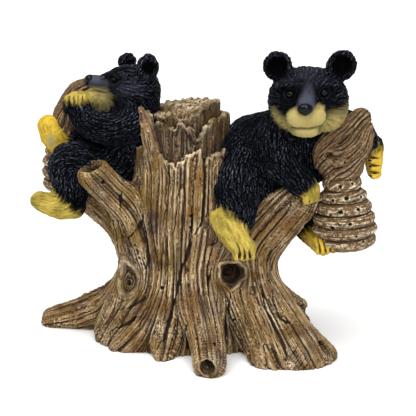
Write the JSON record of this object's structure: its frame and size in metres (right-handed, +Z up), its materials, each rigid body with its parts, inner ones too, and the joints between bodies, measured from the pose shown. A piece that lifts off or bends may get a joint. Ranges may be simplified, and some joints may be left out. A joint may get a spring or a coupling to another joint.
{
  "type": "bear statue",
  "caption": "Painted resin figurine of black bear cubs climbing a hollow tree stump and hugging straw beehives, cast in one piece with its roots as the base.",
  "frame": {"origin": "on the flat underside, at the middle of the footprint's bounding box", "axes": "+X to the viewer's right, towards the cub that faces the viewer; +Y away from the viewer; +Z up"},
  "size_m": [0.1828, 0.1048, 0.1575],
  "materials": {
    "painted_wood": "matte painted resin, brown wood grain with pale dry-brushed ridges and dark recesses",
    "black_fur": "satin painted resin, blue-black carved fur",
    "yellow_paw": "satin painted resin, warm yellow paws and pale yellow muzzles",
    "hive_straw": "matte painted resin, tan straw coils with pale dry-brushed ridges",
    "eye_gloss": "glossy black enamel on eyes and noses"
  },
  "bodies": {
    "root": {"bear_cubs_on_stump": "painted_wood"}
  },
  "joints": []
}
